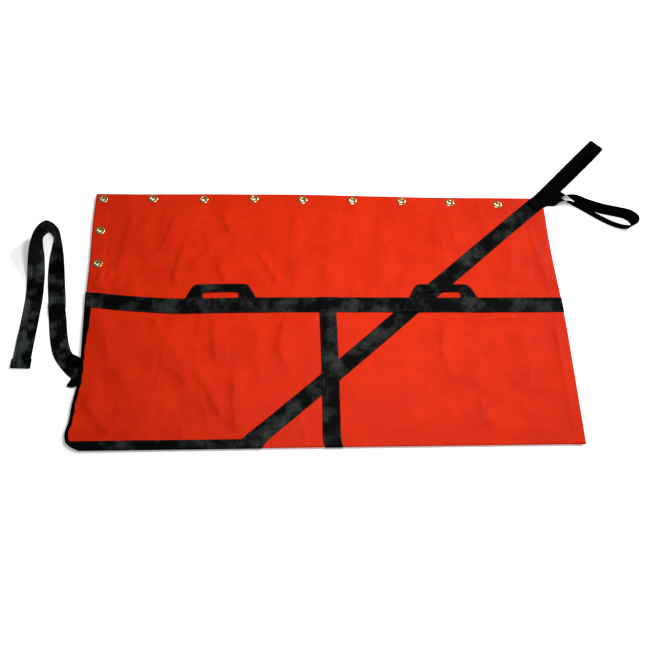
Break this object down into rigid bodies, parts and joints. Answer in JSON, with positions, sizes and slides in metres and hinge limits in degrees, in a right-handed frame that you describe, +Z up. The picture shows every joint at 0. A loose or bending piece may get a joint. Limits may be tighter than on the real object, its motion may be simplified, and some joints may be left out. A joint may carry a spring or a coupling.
{
  "type": "rescue stretcher",
  "caption": "Soft rescue stretcher sheet folded in half, with sewn webbing straps, carry handles, lacing eyelets, corner loops and a drag strap.",
  "frame": {"origin": "middle of the lower long strap's underside, on the surface that the stretcher lies on", "axes": "+X along the long side from the head end to the foot end, +Y from the fold to the open edges with the eyelets, +Z up"},
  "size_m": [1.8867, 1.0689, 0.0494],
  "materials": {
    "sheet_cloth": "heavy coated canvas, plain weave, soft sheen",
    "black_webbing": "woven polyester webbing, satin",
    "eyelet_brass": "polished brass"
  },
  "bodies": {
    "lower_half": {"lower_bed_panel": "sheet_cloth", "lower_side_flap": "sheet_cloth", "lower_edge_hem": "sheet_cloth", "lower_end_hem": "sheet_cloth", "lower_long_strap": "black_webbing", "lower_cross_strap": "black_webbing", "lower_diagonal_strap": "black_webbing", "lower_centre_strap": "black_webbing", "lower_end_binding": "black_webbing", "lower_head_handle_end_a": "black_webbing", "lower_head_handle_end_b": "black_webbing", "lower_foot_handle_end_a": "black_webbing", "lower_foot_handle_end_b": "black_webbing", "lower_edge_eyelet_1": "eyelet_brass", "lower_edge_eyelet_2": "eyelet_brass", "lower_edge_eyelet_3": "eyelet_brass", "lower_edge_eyelet_4": "eyelet_brass", "lower_edge_eyelet_5": "eyelet_brass", "lower_edge_eyelet_6": "eyelet_brass", "lower_edge_eyelet_7": "eyelet_brass", "lower_edge_eyelet_8": "eyelet_brass", "lower_edge_eyelet_9": "eyelet_brass", "lower_end_eyelet_1": "eyelet_brass", "lower_end_eyelet_2": "eyelet_brass", "drag_strap": "black_webbing", "drag_strap_hem": "black_webbing"},
    "upper_half": {"upper_bed_panel": "sheet_cloth", "upper_long_strap": "black_webbing", "upper_cross_strap": "black_webbing", "upper_diagonal_bed": "black_webbing", "upper_centre_strap": "black_webbing", "upper_end_binding": "black_webbing", "upper_head_handle_end_a": "black_webbing", "upper_head_handle_end_b": "black_webbing", "upper_foot_handle_end_a": "black_webbing", "upper_foot_handle_end_b": "black_webbing"},
    "upper_flap": {"upper_side_flap": "sheet_cloth", "upper_edge_hem": "sheet_cloth", "upper_end_hem": "sheet_cloth", "upper_diagonal_flap": "black_webbing", "upper_edge_eyelet_1": "eyelet_brass", "upper_edge_eyelet_2": "eyelet_brass", "upper_edge_eyelet_3": "eyelet_brass", "upper_edge_eyelet_4": "eyelet_brass", "upper_edge_eyelet_5": "eyelet_brass", "upper_edge_eyelet_6": "eyelet_brass", "upper_edge_eyelet_7": "eyelet_brass", "upper_edge_eyelet_8": "eyelet_brass", "upper_edge_eyelet_9": "eyelet_brass", "upper_end_eyelet_1": "eyelet_brass", "upper_end_eyelet_2": "eyelet_brass"},
    "upper_head_handle": {"upper_head_handle": "black_webbing"},
    "upper_foot_handle": {"upper_foot_handle": "black_webbing"},
    "lower_head_handle": {"lower_head_handle": "black_webbing"},
    "lower_foot_handle": {"lower_foot_handle": "black_webbing"},
    "upper_corner_loop": {"upper_corner_loop": "black_webbing"},
    "lower_corner_loop": {"lower_corner_loop": "black_webbing", "lower_corner_loop_root": "black_webbing"}
  },
  "joints": [
    {"name": "fold_open", "type": "hinge", "parent": "lower_half", "child": "upper_half", "pos_m": [0, -0.435, 0.0076], "axis": [1, 0, 0], "range_deg": [0, 180]},
    {"name": "upper_flap_turn_back", "type": "hinge", "parent": "upper_half", "child": "upper_flap", "pos_m": [0, 0.093, 0.0119], "axis": [-1, 0, 0], "range_deg": [-135, 0]},
    {"name": "upper_head_handle_lift", "type": "hinge", "parent": "upper_half", "child": "upper_head_handle", "pos_m": [-0.316, 0.0252, 0.0153], "axis": [-1, 0, 0], "range_deg": [-150, 0]},
    {"name": "upper_foot_handle_lift", "type": "hinge", "parent": "upper_half", "child": "upper_foot_handle", "pos_m": [0.35, 0.0252, 0.0153], "axis": [-1, 0, 0], "range_deg": [-150, 0]},
    {"name": "lower_head_handle_lift", "type": "hinge", "parent": "lower_half", "child": "lower_head_handle", "pos_m": [-0.316, 0.0252, -0.0001], "axis": [-1, 0, 0], "range_deg": [0, 150]},
    {"name": "lower_foot_handle_lift", "type": "hinge", "parent": "lower_half", "child": "lower_foot_handle", "pos_m": [0.35, 0.0252, -0.0001], "axis": [-1, 0, 0], "range_deg": [0, 150]},
    {"name": "upper_corner_loop_lift", "type": "hinge", "parent": "upper_flap", "child": "upper_corner_loop", "pos_m": [0.71545, 0.39475, 0.0137], "axis": [-0.7083, 0.7059, 0], "range_deg": [-180, 0]},
    {"name": "lower_corner_loop_swing", "type": "hinge", "parent": "lower_half", "child": "lower_corner_loop", "pos_m": [0.71, 0.39, 0.0076], "axis": [0, 0, 1], "range_deg": [-35, 3]}
  ]
}
